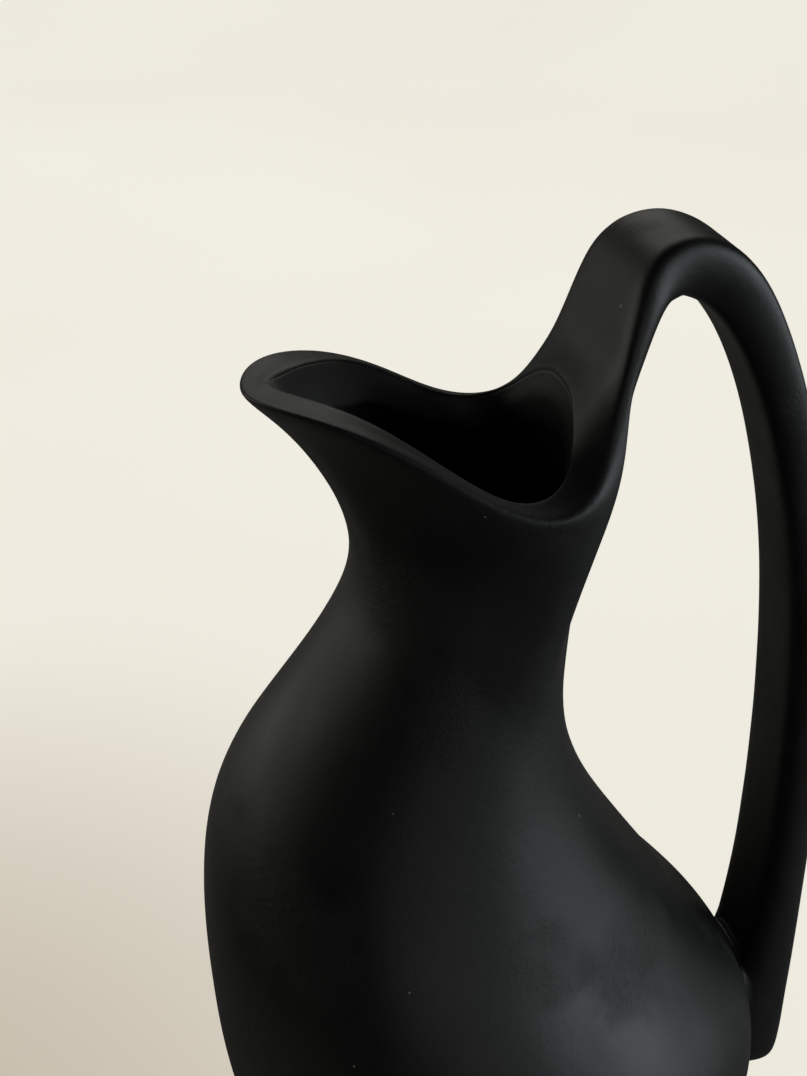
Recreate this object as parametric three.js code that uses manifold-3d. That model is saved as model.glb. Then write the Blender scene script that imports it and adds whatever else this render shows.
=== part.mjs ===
// A swan neck vase in dark burnished stoneware: a leaning round belly, a slender neck, a lip drawn out
// to a spout, and a strap handle that grows out of the back of the lip and comes down on the belly.
//
// Millimetres, +Z up. The origin is the centre of the flat foot. The spout points along -X and the
// handle along +X, and the vase is symmetrical about the XZ plane.

import * as THREE from 'three';
import Module from 'manifold-3d';

const wasm = await Module();
wasm.setup();

// Body: half sizes, and the height of the middle of each leaning section. A section's rise is how far
// its front edge stands above its middle.
const footRadius = 48;
const bellyHalfLength = 82.9;
const bellyHalfWidth = 83.5;
const bellyHeight = 104.4;
const bellyRise = 15;
const neckHalfLength = 29.2;
const neckHalfWidth = 35.9;
const neckHeight = 213.5;
const neckRise = 20.2;
const neckForward = 13.3;

// Mouth: the lip's ridge round the outside, and the edge of the opening inside it.
const spoutReach = 68.6;
const spoutHeight = 296.6;
const mouthHalfWidth = 38.7;
const mouthDrop = 26.5;
const turnReach = 16.6;
const openingReach = 62.1;
const openingBackReach = 13;
const openingHalfWidth = 31.4;
const openingDrop = 23.3;
const lipOuterRound = 5.5;
const lipInnerRound = 4;
const openingRound = 1.4;
const spoutLipShare = 1.9;
const spoutOpeningShare = 3.2;

// Handle: the strap's middle line, its section and the rounding of its lower end. A standoff is how far
// the line stands behind the back of the belly: at its widest, where its foot begins and at its tail.
const handleRootReach = 21.7;
const handleRootHeight = 296.3;
const handleStandoff = 8.694;
const archHeight = 319.9;
const footStandoff = 7.074;
const footHeight = 86.809;
const tailStandoff = 3.0915;
const tailHeight = 52.9;
const strapHalfWidth = 15;
const strapHalfThickness = 6;
const tailRound = 5;

// Walls and joints: each upper piece sits on a shoulder of the one below, round its raised inner half.
const wall = 6.5;
const shoulderStep = 2.6;
const tenonLength = 5;
const jointClearance = 0.3;
const luteWidth = 1.6;
const luteHeight = 1.4;
const glazeThickness = 0.6;
const footChamfer = 1.2;

// How the sections between the named ones follow them, from the foot up.
const lowShares = { height: 0.5, rise: 0.2, length: 0.908, width: 0.897, forward: 0.14 };
const bellyForwardShare = 0.18;
const shoulderShares = { height: 0.444, rise: 1.75, length: 0.68, width: 0.443, forward: 0.977 };
const flareShares = { height: 1.538, rise: 0.97, length: 1.308, width: 0.98, forward: -0.34 };

// The ridge of the lip from the tip of the spout to where it turns up into the handle: along the mouth,
// across it and down from the spout's height. The edge of the opening goes on round the back.
const ridgeShares = [
  [0, 0, 0.072], [0.046, 0.326, 0], [0.169, 0.568, 0.03], [0.339, 0.755, 0.192], [0.514, 0.889, 0.506],
  [0.671, 0.979, 0.849], [0.815, 1, 1], [0.93, 0.922, 0.902], [1, 0.744, 0.555],
];
const openingShares = [
  [0, 0, 0], [0.138, 0.322, 0.017], [0.28, 0.573, 0.116], [0.414, 0.774, 0.339], [0.547, 0.917, 0.639],
  [0.674, 1, 0.906], [0.79, 1, 1], [0.877, 0.917, 0.927], [0.929, 0.78, 0.76], [0.959, 0.611, 0.554],
  [0.981, 0.424, 0.373], [0.996, 0.22, 0.262], [1, 0, 0.245],
];

// The way the skin under the lip faces, at even steps from the spout to the turn.
const facingShares = [
  [-0.7, 0, -0.72], [-0.45, -0.6, -0.6], [-0.2, -0.87, -0.45], [0.1, -0.95, -0.25], [0.35, -0.93, 0],
];

// The strap's middle line: from the root up to the arch, then from the arch down towards its foot.
const riseShares = [[0, 0], [0.087, 0.705], [0.166, 0.951], [0.29, 1]];
const dropShares = [
  [0.462, 0.973], [0.631, 0.905], [0.788, 0.795], [0.918, 0.649], [0.982, 0.476], [1, 0.294],
];
const strapWidthShares = [1.597, 1.354, 1.11, 0.929, 0.846, 0.839, 0.879, 0.934, 0.987, 1.019, 1.061, 1.13];
const strapThicknessShares = [
  0.59, 0.788, 1.165, 1.33, 1.241, 1.053, 0.968, 0.941, 0.965, 1.005, 1.241, 1.829,
];

// Half of the strap's section, from the middle of its inner face round one edge to the middle of its
// outer face: across the thickness, then across the width.
const strapSectionShares = [
  [-1, 0], [-1, 0.42], [-0.95, 0.8], [-0.3, 1], [0.6, 0.99], [1, 0.85], [1, 0.55], [1, 0.27], [1, 0],
];

// Columns run up the body, from the spout round the -Y side. The lip turns up at the turn column.
const columns = 24;
const halfColumns = columns / 2;
const turnColumn = 9;

// Rows of the skin, as shares of the way from one section to the next: foot 0, low 1, belly 2, shoulder
// 3, neck 4, flare 5.
const rowShares = { base: 0.2, belly: 1, shoulder: 2.8, collar: 3.6, neck: 4 };
const outerRowShares = [
  0, rowShares.base, 0.6, rowShares.belly, 1.45, 1.9, 2.35, rowShares.shoulder, 3.2, rowShares.collar,
  rowShares.neck,
];
const innerRowShares = [
  rowShares.collar, 3.2, rowShares.shoulder, 2.2, 1.6, rowShares.belly, 0.6, rowShares.base,
];
const flareStepShares = [0.25, 0.52, 0.8];
const throatStepShares = [0.3, 0.65, 1];
const archRingCount = 13;
const dropRingCount = 7;
const archPlace = riseShares.length + 2;

const vec = (x, y, z) => new THREE.Vector3(x, y, z);
const mix = THREE.MathUtils.lerp;
const smooth = (share) => THREE.MathUtils.smoothstep(share, 0, 1);
const along = (start, way, distance) => start.clone().addScaledVector(way, distance);
const average = (list) => list.reduce((sum, p) => sum.add(p), vec(0, 0, 0)).divideScalar(list.length);
const wayTo = (from, to) => to.clone().sub(from).normalize();

// A smooth curve through points, where a place is counted in points.
function guide(points) {
  const curve = new THREE.CatmullRomCurve3(points, false, 'catmullrom');
  const last = points.length - 1;
  return (place) => curve.getPoint(THREE.MathUtils.clamp(place / last, 0, 1));
}

const section = (forward, height, rise, length, width) => ({
  front: vec(-forward - length, width, height + rise),
  back: vec(-forward + length, width, height - rise),
});
const sections = [
  section(0, 0, 0, footRadius, footRadius),
  section(
    neckForward * lowShares.forward, bellyHeight * lowShares.height, bellyRise * lowShares.rise,
    bellyHalfLength * lowShares.length, bellyHalfWidth * lowShares.width,
  ),
  section(neckForward * bellyForwardShare, bellyHeight, bellyRise, bellyHalfLength, bellyHalfWidth),
  section(
    neckForward * shoulderShares.forward, mix(bellyHeight, neckHeight, shoulderShares.height),
    bellyRise * shoulderShares.rise, mix(neckHalfLength, bellyHalfLength, shoulderShares.length),
    mix(neckHalfWidth, bellyHalfWidth, shoulderShares.width),
  ),
  section(neckForward, neckHeight, neckRise, neckHalfLength, neckHalfWidth),
  section(
    neckForward * flareShares.forward, mix(bellyHeight, neckHeight, flareShares.height),
    neckRise * flareShares.rise, neckHalfLength * flareShares.length, neckHalfWidth * flareShares.width,
  ),
];
const frontGuide = guide(sections.map(({ front }) => front));
const backGuide = guide(sections.map(({ back }) => back));
const bellyBack = bellyHalfLength - neckForward * bellyForwardShare;

// One leaning oval ring of the body, an inset inside its outer face.
function bodyRing(row, inset, count = columns) {
  const front = frontGuide(row);
  const back = backGuide(row);
  const middle = average([front, back]).setY(0);
  const half = front.clone().setY(0).sub(middle);
  half.setLength(half.length() - inset);
  return Array.from({ length: count }, (_, i) => {
    const angle = (2 * Math.PI * i) / count;
    return along(middle, half, Math.cos(angle)).setY((inset - front.y) * Math.sin(angle));
  });
}

// The strap's middle line and its frame, whose outward side is the outside of the bend.
const strapPoint = ([x, z], bottom) => (
  vec(mix(handleRootReach, bellyBack + handleStandoff, x), 0, mix(bottom, archHeight, z))
);
const strapPoints = [
  ...riseShares.map((shares) => strapPoint(shares, handleRootHeight)),
  ...dropShares.map((shares) => strapPoint(shares, tailHeight)),
  vec(bellyBack + footStandoff, 0, footHeight),
  vec(bellyBack + tailStandoff, 0, tailHeight),
];
const strapLine = guide(strapPoints);
const strapSize = guide(strapWidthShares.map((share, i) => (
  vec(strapThicknessShares[i] * strapHalfThickness, share * strapHalfWidth, 0)
)));
const tailPlace = strapPoints.length - 1;
const placeStep = 0.01;

function strapFrame(place) {
  const tangent = wayTo(strapLine(place - placeStep), strapLine(place + placeStep));
  return { middle: strapLine(place), tangent, outward: vec(-tangent.z, 0, tangent.x) };
}

// The strap's ring starts in the middle of the inner face and runs over the +Y edge first.
function strapRing(place, shrink = 0, reach = 0) {
  const { middle, tangent, outward } = strapFrame(place);
  const size = strapSize(place);
  const half = strapSectionShares.map(([thick, wide]) => [thick * (size.x - shrink), wide * (size.y - shrink)]);
  const other = half.slice(1, -1).reverse().map(([thick, wide]) => [thick, -wide]);
  return [...half, ...other].map(([thick, wide]) => (
    along(along(middle, outward, thick), tangent, reach).setY(wide)
  ));
}

// The cage: points, and faces tagged with their piece and where they lie on it.
const cage = { points: [], faces: [] };
const addPoints = (points) => points.map((point) => cage.points.push(point) - 1);
const addFace = (tag, corners) => cage.faces.push({ tag, corners });
const sideColumn = (column) => Math.min(column, columns - column);
const towardsTurn = (column, spoutShare) => mix(spoutShare, 1, smooth(sideColumn(column) / turnColumn));
const onSide = (point, column) => {
  const y = Math.abs(point.y);
  return point.clone().setY(column <= halfColumns ? -y : y);
};

function addStrip(tag, from, to) {
  from.forEach((id, i) => {
    const next = (i + 1) % from.length;
    const corners = [id, from[next], to[next], to[i]];
    if (!corners.includes(null)) addFace(tag, corners);
  });
}

const wallPiece = (row) => {
  if (row < rowShares.base) return 'base_slab';
  if (row < rowShares.belly) return 'lower_belly';
  if (row < rowShares.shoulder) return 'upper_belly';
  return row < rowShares.collar ? 'neck' : 'mouth';
};

// The strap's root ring is shared with the mouth: the lip's three lines run into it, and the columns at
// the back of the mouth end on it.
const rootRing = strapRing(0);
const halfRing = rootRing.length / 2;
const ringEdge = halfColumns - turnColumn + 1;
const rootIndex = (column, line) => {
  const away = Math.abs(column - halfColumns);
  const fold = { outer: away, ridge: ringEdge, inner: halfRing - away }[line];
  return column >= halfColumns ? fold : (rootRing.length - fold) % rootRing.length;
};

const ridge = ridgeShares.map(([x, y, z]) => (
  vec(mix(-spoutReach, turnReach, x), -y * mouthHalfWidth, spoutHeight - z * mouthDrop)
));
ridge.push(rootRing[rootIndex(turnColumn, 'ridge')]);
const opening = openingShares.map(([x, y, z]) => (
  vec(mix(-openingReach, openingBackReach, x), -y * openingHalfWidth, spoutHeight - z * openingDrop)
));
const facing = guide(facingShares.map(([x, y, z]) => vec(x, y, z)));
const facingSteps = facingShares.length - 1;
const turnStartShare = 4 / turnColumn;
const rootTangent = strapFrame(0).tangent;
const up = vec(0, 0, 1);

// The lip in one column: its outer, ridge and inner points, the way it rises, and the way the flare
// comes up to it.
function lipAt(column) {
  const side = sideColumn(column);
  if (side >= turnColumn) {
    return {
      outer: rootRing[rootIndex(column, 'outer')],
      ridge: side === turnColumn ? rootRing[rootIndex(column, 'ridge')] : null,
      inner: rootRing[rootIndex(column, 'inner')],
      rise: up,
      approach: rootTangent,
    };
  }
  const before = side === 0 ? ridge[1].clone().setY(-ridge[1].y) : ridge[side - 1];
  const run = wayTo(before, ridge[side + 1]);
  const face = facing((side * facingSteps) / turnColumn);
  face.addScaledVector(run, -face.dot(run)).normalize();
  const rise = run.clone().cross(face);
  rise.multiplyScalar(Math.sign(rise.z));
  const inward = opening[side].clone().sub(ridge[side]);
  inward.addScaledVector(run, -inward.dot(run));
  const innerRound = Math.min(lipInnerRound, inward.length() / 2);
  const turn = smooth((side / turnColumn - turnStartShare) / (1 - turnStartShare));
  const approach = rise.clone().lerp(run, turn).normalize();
  const sign = column <= halfColumns ? 1 : -1;
  return {
    outer: onSide(along(ridge[side], rise, -lipOuterRound * towardsTurn(side, spoutLipShare)), column),
    ridge: onSide(ridge[side], column),
    inner: onSide(along(ridge[side], inward.normalize(), innerRound), column),
    rise: rise.clone().setY(rise.y * sign),
    approach: approach.setY(approach.y * sign),
  };
}
const lip = Array.from({ length: columns }, (_, column) => lipAt(column));

// Outer skin: body rows, then the flare, which leaves the neck and reaches the lip without a kink. The
// flare swells most under the spout.
const flarePullShare = 0.26;
const spoutPullShare = 1.385;
const throatPullShare = 0.35;
const bend = (a, b, c, d, share) => new THREE.CubicBezierCurve3(a, b, c, d).getPoint(share);
const neckRing = bodyRing(rowShares.neck, 0);
const overNeckRing = bodyRing(rowShares.neck + placeStep, 0);
const neckUp = neckRing.map((point, i) => wayTo(point, overNeckRing[i]));

const outerRings = outerRowShares.map((row) => addPoints(bodyRing(row, 0)));
for (const share of flareStepShares) {
  outerRings.push(addPoints(neckRing.map((start, i) => {
    const { outer, approach } = lip[i];
    const pull = start.distanceTo(outer) * flarePullShare * towardsTurn(i, spoutPullShare);
    return bend(start, along(start, neckUp[i], pull), along(outer, approach, -pull), outer, share);
  })));
}
const lipOuter = addPoints(lip.map(({ outer }) => outer));
outerRings.push(lipOuter);
outerRings.slice(1).forEach((ring, i) => {
  addStrip(`${wallPiece(outerRowShares[i] ?? rowShares.neck)} outside`, outerRings[i], ring);
});

// The lip's rounded edge, as far as the turn.
const lipRidge = lip.map((point) => (point.ridge ? addPoints([point.ridge])[0] : null));
const lipInner = addPoints(lip.map(({ inner }) => inner));
addStrip('mouth', lipOuter, lipRidge);
addStrip('mouth', lipRidge, lipInner);

// Inside: the band to the opening's edge, the throat down to the neck, and the inner wall.
const edgeRing = lip.map((_, column) => onSide(opening[sideColumn(column)], column));
const throatTurnColumns = 6;
const throatDown = lip.map(({ rise }, column) => (
  rise.clone().lerp(up, smooth((sideColumn(column) - 1) / throatTurnColumns)).normalize().negate()
));
const throatEnd = bodyRing(rowShares.neck, wall);
const edgeRounds = edgeRing.map((_, column) => openingRound * towardsTurn(column, spoutOpeningShare));
const throatRings = [
  edgeRing.map((edge, i) => along(edge, wayTo(edge, lip[i].inner), Math.min(
    edgeRounds[i], edge.distanceTo(lip[i].inner) / 2,
  ))),
  edgeRing,
  edgeRing.map((edge, i) => along(edge, throatDown[i], edgeRounds[i])),
  ...throatStepShares.map((share) => edgeRing.map((start, i) => {
    const end = throatEnd[i];
    const pull = start.distanceTo(end) * throatPullShare;
    return bend(start, along(start, throatDown[i], pull), along(end, neckUp[i], pull), end, share);
  })),
].map(addPoints);
addStrip('mouth', lipInner, throatRings[0]);
const glazedFrom = throatRings.length - throatStepShares.length;
throatRings.slice(1).forEach((ring, i) => {
  addStrip(i < glazedFrom ? 'mouth' : 'mouth glazed', throatRings[i], ring);
});
const innerRings = innerRowShares.map((row) => addPoints(bodyRing(row, wall)));
addStrip('mouth', throatRings.at(-1), innerRings[0]);
innerRings.slice(1).forEach((ring, i) => addStrip(wallPiece(innerRowShares[i + 1]), innerRings[i], ring));

// Handle: rings from the root over the arch and down to the rounded tail.
const rootIds = rootRing.map(() => null);
lip.forEach((_, column) => {
  if (sideColumn(column) < turnColumn) return;
  rootIds[rootIndex(column, 'outer')] = lipOuter[column];
  rootIds[rootIndex(column, 'inner')] = lipInner[column];
  if (sideColumn(column) === turnColumn) rootIds[rootIndex(column, 'ridge')] = lipRidge[column];
});
const strapPlaces = [
  ...Array.from({ length: archRingCount }, (_, i) => mix(0, archPlace, (i + 1) / archRingCount)),
  ...Array.from({ length: dropRingCount }, (_, i) => mix(archPlace, tailPlace, (i + 1) / dropRingCount)),
];
const strapRings = [rootIds, ...strapPlaces.map((place) => addPoints(strapRing(place)))];
const tailShrinkShare = 0.45;
const tail = addPoints(strapRing(tailPlace, tailRound * tailShrinkShare, tailRound));
strapRings.push(tail);
strapRings.slice(1).forEach((ring, i) => addStrip('handle', strapRings[i], ring));
for (const side of [1, -1]) {
  for (let k = 0; k < ringEdge; k += 1) {
    const across = [k, k + 1, halfRing - k - 1, halfRing - k].map((i) => tail.at(side * i));
    const corners = [...new Set(across)];
    addFace('handle', side > 0 ? corners : corners.reverse());
  }
}

// One step of smooth subdivision by Catmull and Clark's rule. Cage points keep their numbers.
function subdivide({ points, faces }) {
  const centres = faces.map(({ corners }) => average(corners.map((id) => points[id])));
  const edges = new Map();
  const key = (a, b) => Math.min(a, b) * points.length + Math.max(a, b);
  const around = points.map(() => ({ faces: [], edges: new Set() }));
  faces.forEach(({ corners }, face) => corners.forEach((a, i) => {
    const b = corners[(i + 1) % corners.length];
    const edge = edges.get(key(a, b)) ?? { ends: [a, b], faces: [] };
    edges.set(key(a, b), edge);
    edge.faces.push(face);
    around[a].faces.push(face);
    around[a].edges.add(edge);
    around[b].edges.add(edge);
  }));
  const middle = ({ ends }) => average(ends.map((id) => points[id]));
  const isRim = (edge) => edge.faces.length === 1;
  const moved = points.map((point, id) => {
    const touching = [...around[id].edges];
    const rim = touching.filter(isRim);
    if (rim.length) return average([point, average(rim.map(middle))]);
    const count = touching.length;
    const sum = average(around[id].faces.map((face) => centres[face]));
    sum.addScaledVector(average(touching.map(middle)), 2).addScaledVector(point, count - 3);
    return sum.divideScalar(count);
  });
  const edgePoints = [...edges.values()].map((edge) => (
    isRim(edge) ? middle(edge) : average([middle(edge), average(edge.faces.map((face) => centres[face]))])
  ));
  const numbers = new Map([...edges.keys()].map((edge, i) => [edge, points.length + i]));
  const edgeId = (a, b) => numbers.get(key(a, b));
  const centreId = points.length + edgePoints.length;
  const finer = faces.flatMap(({ tag, corners }, face) => corners.map((a, i) => {
    const b = corners[(i + 1) % corners.length];
    return { tag, corners: [a, edgeId(a, b), centreId + face, edgeId(corners.at(i - 1), a)] };
  }));
  return { points: [...moved, ...edgePoints, ...centres], faces: finer, edgeId };
}

const skin = subdivide(cage);
const skinFaces = (...tags) => (
  skin.faces.filter(({ tag }) => tags.includes(tag)).map(({ corners }) => corners)
);
const fineRing = (ring) => ring.flatMap((id, i) => [id, skin.edgeId(id, ring[(i + 1) % ring.length])]);

// A joint lies in one plane, so its outer and inner rims are moved up or down into it.
function wallJoint(row) {
  const outer = fineRing(outerRings[outerRowShares.indexOf(row)]);
  const inner = fineRing(innerRings[innerRowShares.indexOf(row)]);
  const front = skin.points[outer[0]].clone();
  const back = skin.points[outer[outer.length / 2]].clone();
  const slope = (back.z - front.z) / (back.x - front.x);
  for (const id of [...outer, ...inner]) {
    skin.points[id].z = front.z + (skin.points[id].x - front.x) * slope;
  }
  const low = bodyRing(row, 0, outer.length);
  const high = bodyRing(row + placeStep, 0, outer.length);
  return { outer, inner, lifts: low.map((point, i) => wayTo(point, high[i])) };
}
const joints = {
  base: wallJoint(rowShares.base),
  belly: wallJoint(rowShares.belly),
  shoulder: wallJoint(rowShares.shoulder),
  collar: wallJoint(rowShares.collar),
};

// The joint between lip and handle lies in a plane square to the strap.
const rootRim = fineRing(rootIds);
const rootMiddle = average(rootRim.map((id) => skin.points[id]));
for (const id of rootRim) {
  const off = skin.points[id].clone().sub(rootMiddle).dot(rootTangent);
  skin.points[id].addScaledVector(rootTangent, -off);
}

// A closed body put together from parts of the skin and from rings of its own.
class Body {
  constructor() {
    this.points = [];
    this.faces = [];
    this.numbers = new Map();
  }

  // A skin point's number here. Each layer has its own copy of the skin.
  at(id, layer = 'skin') {
    const name = `${layer} ${id}`;
    if (!this.numbers.has(name)) this.numbers.set(name, this.points.push(skin.points[id].clone()) - 1);
    return this.numbers.get(name);
  }

  addSkin(faces, layer = 'skin', flipped = false) {
    for (const corners of faces) this.add(corners.map((id) => this.at(id, layer)), flipped);
  }

  add([first, ...rest], flipped) {
    this.faces.push([first, ...(flipped ? rest.reverse() : rest)]);
  }

  addRing(points) {
    return points.map((point) => this.points.push(point) - 1);
  }

  addBands(rings, flipped) {
    rings.slice(1).forEach((ring, i) => ring.forEach((id, k) => {
      const next = (k + 1) % ring.length;
      this.add([rings[i][k], rings[i][next], ring[next], id], flipped);
    }));
  }

  addFan(ring, flipped) {
    const [centre] = this.addRing([average(ring.map((id) => this.points[id]))]);
    ring.forEach((id, k) => this.add([centre, id, ring[(k + 1) % ring.length]], flipped));
  }

  triangles() {
    return this.faces.flatMap(([first, ...rest]) => (
      rest.slice(1).map((id, i) => [first, rest[i], id])
    ));
  }

  coordinates() {
    return this.points.flatMap((point) => point.toArray());
  }

  geometry() {
    const shape = new THREE.BufferGeometry();
    shape.setAttribute('position', new THREE.Float32BufferAttribute(this.coordinates(), 3));
    shape.setIndex(this.triangles().flat());
    return shape;
  }

  solid() {
    return new wasm.Manifold(new wasm.Mesh({
      numProp: 3,
      vertProperties: new Float32Array(this.coordinates()),
      triVerts: new Uint32Array(this.triangles().flat()),
    }));
  }
}

function solidGeometry(solid) {
  const mesh = solid.getMesh();
  const shape = new THREE.BufferGeometry();
  shape.setAttribute('position', new THREE.Float32BufferAttribute(mesh.vertProperties, 3));
  shape.setIndex([...mesh.triVerts]);
  return shape;
}

// Both sides of a wall joint share the shoulder, which is the outer half of the wall. The lower piece
// stands up inside it, and the upper piece clears that step.
const shoulderShare = 0.5;

function addJoint(body, { outer, inner, lifts }, isLower) {
  const rim = outer.map((id) => body.at(id));
  const inside = inner.map((id) => body.at(id));
  const shoulder = rim.map((id, i) => body.points[id].clone().lerp(body.points[inside[i]], shoulderShare));
  const lift = shoulderStep + (isLower ? 0 : jointClearance);
  const step = shoulder.map((point, i) => (
    isLower ? along(point, wayTo(body.points[rim[i]], point), jointClearance) : point
  ));
  const rings = [rim, body.addRing(shoulder)];
  if (isLower) rings.push(body.addRing(step));
  rings.push(body.addRing(step.map((point, i) => along(point, lifts[i], lift))), inside);
  inside.forEach((id, i) => body.points[id].addScaledVector(lifts[i], lift));
  body.addBands(rings, !isLower);
}

// The slab under the wall: a flat foot with a chamfered edge, and the floor inside.
function baseSlab() {
  const body = new Body();
  body.addSkin(skinFaces('base_slab outside'));
  const foot = fineRing(outerRings[0]).map((id) => body.at(id));
  for (const id of foot) body.points[id].z = footChamfer;
  const shrink = 1 - footChamfer / footRadius;
  const under = body.addRing(foot.map((id) => body.points[id].clone().multiplyScalar(shrink).setZ(0)));
  body.addBands([foot, under], true);
  body.addFan(under, true);
  addJoint(body, joints.base, true);
  body.addFan(joints.base.inner.map((id) => body.at(id)), false);
  return body.geometry();
}

function wallBody(piece, below, above) {
  const body = new Body();
  body.addSkin(skinFaces(`${piece} outside`, piece));
  addJoint(body, below, false);
  addJoint(body, above, true);
  return body.geometry();
}

// The handle's root butts on the lip round a tenon, which stands in a socket.
const tenonShare = 0.45;

function addRoot(body, isHandle) {
  const rim = rootRim.map((id) => body.at(id));
  const arms = rim.map((id) => body.points[id].clone().sub(rootMiddle));
  const ring = (inset, depth) => body.addRing(arms.map((arm) => {
    const reach = arm.length() * tenonShare - inset;
    return along(along(rootMiddle, arm.clone().normalize(), reach), rootTangent, -depth);
  }));
  const rings = isHandle
    ? [rim, ring(0, 0), ring(jointClearance, 0), ring(jointClearance, tenonLength)]
    : [rim, ring(0, 0), ring(0, tenonLength + jointClearance)];
  body.addBands(rings, isHandle);
  body.addFan(rings.at(-1), isHandle);
}

function mouth() {
  const body = new Body();
  body.addSkin(skinFaces('mouth outside', 'mouth', 'mouth glazed'));
  addJoint(body, joints.collar, false);
  addRoot(body, false);
  return body.geometry();
}

// Moves a body's points along the normals of its faces.
function swell(body, distance) {
  const normals = body.points.map(() => vec(0, 0, 0));
  for (const [a, b, c] of body.triangles()) {
    const side = body.points[b].clone().sub(body.points[a]);
    const normal = side.cross(body.points[c].clone().sub(body.points[a]));
    for (const id of [a, b, c]) normals[id].add(normal);
  }
  normals.forEach((normal, id) => body.points[id].addScaledVector(normal.normalize(), distance(id)));
}

// The belly and the handle, grown by a distance, as solids that shape what is set against them.
function bellySolid(distance) {
  const body = new Body();
  body.addSkin(skinFaces('lower_belly outside', 'upper_belly outside'));
  swell(body, () => distance);
  body.addFan(joints.base.outer.map((id) => body.at(id)), true);
  body.addFan(joints.shoulder.outer.map((id) => body.at(id)), false);
  return body.solid();
}

function handleSolid(distance) {
  const body = new Body();
  body.addSkin(skinFaces('handle'));
  swell(body, () => distance);
  addRoot(body, true);
  return body.solid();
}

// The lute: the clay that was pressed into the corner all round the handle's foot.
function lute() {
  const pad = bellySolid(jointClearance + luteHeight).subtract(bellySolid(jointClearance));
  const collar = handleSolid(jointClearance + luteWidth).subtract(handleSolid(jointClearance));
  return pad.intersect(collar);
}

// The glaze that was brushed round the throat, down to the neck.
function throatGlaze() {
  const faces = skinFaces('mouth glazed');
  const body = new Body();
  body.addSkin(faces, 'near');
  const nearCount = body.points.length;
  body.addSkin(faces, 'far');
  swell(body, (id) => jointClearance + (id < nearCount ? 0 : glazeThickness));
  body.faces.splice(0, faces.length);
  body.addSkin(faces, 'near', true);
  const rims = [throatRings[glazedFrom], throatRings.at(-1)].map(fineRing);
  rims.forEach((rim, i) => {
    body.addBands([rim.map((id) => body.at(id, 'near')), rim.map((id) => body.at(id, 'far'))], i === 1);
  });
  return body.geometry();
}

const clay = { color: 0x2b2c2f, roughness: 0.5, metalness: 0 };
const slip = { color: 0x2b2c2f, roughness: 0.42, metalness: 0 };
const glaze = { color: 0x1b1d21, roughness: 0.35, metalness: 0 };
const pieces = {
  base_slab: [baseSlab(), clay],
  lower_belly: [wallBody('lower_belly', joints.base, joints.belly), clay],
  upper_belly: [wallBody('upper_belly', joints.belly, joints.shoulder), clay],
  neck: [wallBody('neck', joints.shoulder, joints.collar), clay],
  mouth: [mouth(), clay],
  handle: [solidGeometry(handleSolid(0).subtract(bellySolid(jointClearance))), clay],
  handle_lute: [solidGeometry(lute()), slip],
  throat_glaze: [throatGlaze(), glaze],
};

const vase = new THREE.Group();
vase.name = 'swan_neck_vase';
for (const [name, [geometry, look]] of Object.entries(pieces)) {
  const mesh = new THREE.Mesh(geometry, new THREE.MeshStandardMaterial(look));
  mesh.name = name;
  vase.add(mesh);
}

export default vase;
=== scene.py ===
"""A swan neck vase in dark burnished stoneware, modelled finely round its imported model.

The body, the lip and the handle are one smooth skin over a cage of the vase's own named sizes, in
millimetres. The skin is divided finely and then parted into the pieces that the vase is built from.
"""

import math

import bpy
import numpy as np
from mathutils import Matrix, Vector, noise
from mathutils.bvhtree import BVHTree


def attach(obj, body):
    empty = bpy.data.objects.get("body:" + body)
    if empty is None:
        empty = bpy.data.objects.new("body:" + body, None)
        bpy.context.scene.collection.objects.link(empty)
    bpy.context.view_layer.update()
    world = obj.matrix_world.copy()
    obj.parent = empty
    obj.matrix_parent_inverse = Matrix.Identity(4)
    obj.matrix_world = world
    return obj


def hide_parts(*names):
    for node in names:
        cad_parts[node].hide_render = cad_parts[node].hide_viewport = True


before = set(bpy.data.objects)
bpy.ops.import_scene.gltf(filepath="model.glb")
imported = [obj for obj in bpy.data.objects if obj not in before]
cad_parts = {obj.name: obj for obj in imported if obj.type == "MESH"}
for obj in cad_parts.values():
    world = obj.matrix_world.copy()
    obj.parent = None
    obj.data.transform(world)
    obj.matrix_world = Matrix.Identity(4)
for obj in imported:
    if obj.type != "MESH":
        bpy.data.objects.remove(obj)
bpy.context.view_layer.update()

MM = 0.001
scene = bpy.context.scene

# Body: half sizes, and the height of the middle of each leaning section.
FOOT_RADIUS = 48
BELLY_HALF_LENGTH = 82.9
BELLY_HALF_WIDTH = 83.5
BELLY_HEIGHT = 104.4
BELLY_RISE = 15
NECK_HALF_LENGTH = 29.2
NECK_HALF_WIDTH = 35.9
NECK_HEIGHT = 213.5
NECK_RISE = 20.2
NECK_FORWARD = 13.3

# Mouth: the lip's ridge round the outside, and the edge of the opening inside it.
SPOUT_REACH = 68.6
SPOUT_HEIGHT = 296.6
MOUTH_HALF_WIDTH = 38.7
MOUTH_DROP = 26.5
TURN_REACH = 16.6
OPENING_REACH = 62.1
OPENING_BACK_REACH = 13
OPENING_HALF_WIDTH = 31.4
OPENING_DROP = 23.3
LIP_OUTER_ROUND = 5.5
LIP_INNER_ROUND = 4
OPENING_ROUND = 1.4
SPOUT_LIP_SHARE = 1.9
SPOUT_OPENING_SHARE = 3.2

# Handle: the strap's middle line and its section.
HANDLE_ROOT_REACH = 21.7
HANDLE_ROOT_HEIGHT = 296.3
HANDLE_REACH = 89.2
ARCH_HEIGHT = 319.9
TAIL_HEIGHT = 52.9
STRAP_HALF_WIDTH = 15
STRAP_HALF_THICKNESS = 6
TAIL_ROUND = 5

WALL = 6.5
FOOT_CHAMFER = 1.2
FLOOR_HEIGHT = 8

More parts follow.
